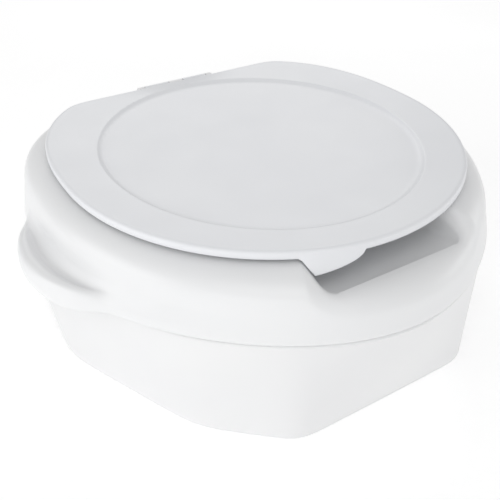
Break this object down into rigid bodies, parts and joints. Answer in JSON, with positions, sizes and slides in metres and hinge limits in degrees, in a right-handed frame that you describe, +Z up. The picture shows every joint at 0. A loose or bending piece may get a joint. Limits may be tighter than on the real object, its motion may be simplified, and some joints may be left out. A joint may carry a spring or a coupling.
{
  "type": "raised toilet seat",
  "caption": "Moulded raised toilet seat with a hinged dished lid, a front recess, side grips and clamps that hold it in the bowl.",
  "frame": {"origin": "centre of the footprint, level with the lower edge of the skirt", "axes": "+Z up, +X across the seat, -Y towards the front of the seat"},
  "size_m": [0.4576, 0.421, 0.161],
  "materials": {
    "shell_plastic": "satin moulded",
    "skirt_plastic": "satin moulded",
    "lid_plastic": "satin moulded",
    "hinge_plastic": "satin moulded",
    "clamp_plastic": "fine grain",
    "pad_rubber": "matte",
    "buffer_rubber": "matte",
    "steel": "brushed"
  },
  "bodies": {
    "shell": {"seat_shell": "shell_plastic", "base_skirt": "skirt_plastic", "hinge_bracket": "hinge_plastic", "hinge_pin": "steel", "hinge_screw_left": "steel", "hinge_screw_right": "steel", "rim_pad_front": "pad_rubber", "rim_pad_left": "pad_rubber", "rim_pad_right": "pad_rubber", "rim_pad_rear": "pad_rubber", "clamp_bolt_front_left": "steel", "clamp_bolt_front_right": "steel", "clamp_bolt_rear_left": "steel", "clamp_bolt_rear_right": "steel", "shell_screw_1": "steel", "shell_screw_2": "steel", "shell_screw_3": "steel", "shell_screw_4": "steel", "shell_screw_5": "steel", "shell_screw_6": "steel"},
    "lid": {"lid": "lid_plastic", "lid_buffer_front_left": "buffer_rubber", "lid_buffer_front_right": "buffer_rubber", "lid_buffer_rear_left": "buffer_rubber", "lid_buffer_rear_right": "buffer_rubber"},
    "clamp_front_left": {"clamp_bracket_front_left": "clamp_plastic", "clamp_face_front_left": "pad_rubber"},
    "knob_front_left": {"clamp_knob_front_left": "clamp_plastic"},
    "clamp_front_right": {"clamp_bracket_front_right": "clamp_plastic", "clamp_face_front_right": "pad_rubber"},
    "knob_front_right": {"clamp_knob_front_right": "clamp_plastic"},
    "clamp_rear_left": {"clamp_bracket_rear_left": "clamp_plastic", "clamp_face_rear_left": "pad_rubber"},
    "knob_rear_left": {"clamp_knob_rear_left": "clamp_plastic"},
    "clamp_rear_right": {"clamp_bracket_rear_right": "clamp_plastic", "clamp_face_rear_right": "pad_rubber"},
    "knob_rear_right": {"clamp_knob_rear_right": "clamp_plastic"}
  },
  "joints": [
    {"name": "lid_hinge", "type": "hinge", "parent": "shell", "child": "lid", "pos_m": [0, 0.1765, 0.1556], "axis": [-1, 0, 0], "range_deg": [0, 100]},
    {"name": "clamp_slide_front_left", "type": "slide", "parent": "shell", "child": "clamp_front_left", "axis": [-0.7547, -0.6561, 0], "range_m": [0, 0.012]},
    {"name": "clamp_knob_turn_front_left", "type": "hinge", "parent": "shell", "child": "knob_front_left", "pos_m": [-0.09887, -0.07144, 0.04], "axis": [0, 0, 1], "range_deg": [0, 270]},
    {"name": "clamp_slide_front_right", "type": "slide", "parent": "shell", "child": "clamp_front_right", "axis": [0.7547, -0.6561, 0], "range_m": [0, 0.012]},
    {"name": "clamp_knob_turn_front_right", "type": "hinge", "parent": "shell", "child": "knob_front_right", "pos_m": [0.09887, -0.07144, 0.04], "axis": [0, 0, 1], "range_deg": [0, 270]},
    {"name": "clamp_slide_rear_left", "type": "slide", "parent": "shell", "child": "clamp_rear_left", "axis": [-0.6947, 0.7193, 0], "range_m": [0, 0.012]},
    {"name": "clamp_knob_turn_rear_left", "type": "hinge", "parent": "shell", "child": "knob_rear_left", "pos_m": [-0.091, 0.10873, 0.04], "axis": [0, 0, 1], "range_deg": [0, 270]},
    {"name": "clamp_slide_rear_right", "type": "slide", "parent": "shell", "child": "clamp_rear_right", "axis": [0.6947, 0.7193, 0], "range_m": [0, 0.012]},
    {"name": "clamp_knob_turn_rear_right", "type": "hinge", "parent": "shell", "child": "knob_rear_right", "pos_m": [0.091, 0.10873, 0.04], "axis": [0, 0, 1], "range_deg": [0, 270]}
  ]
}
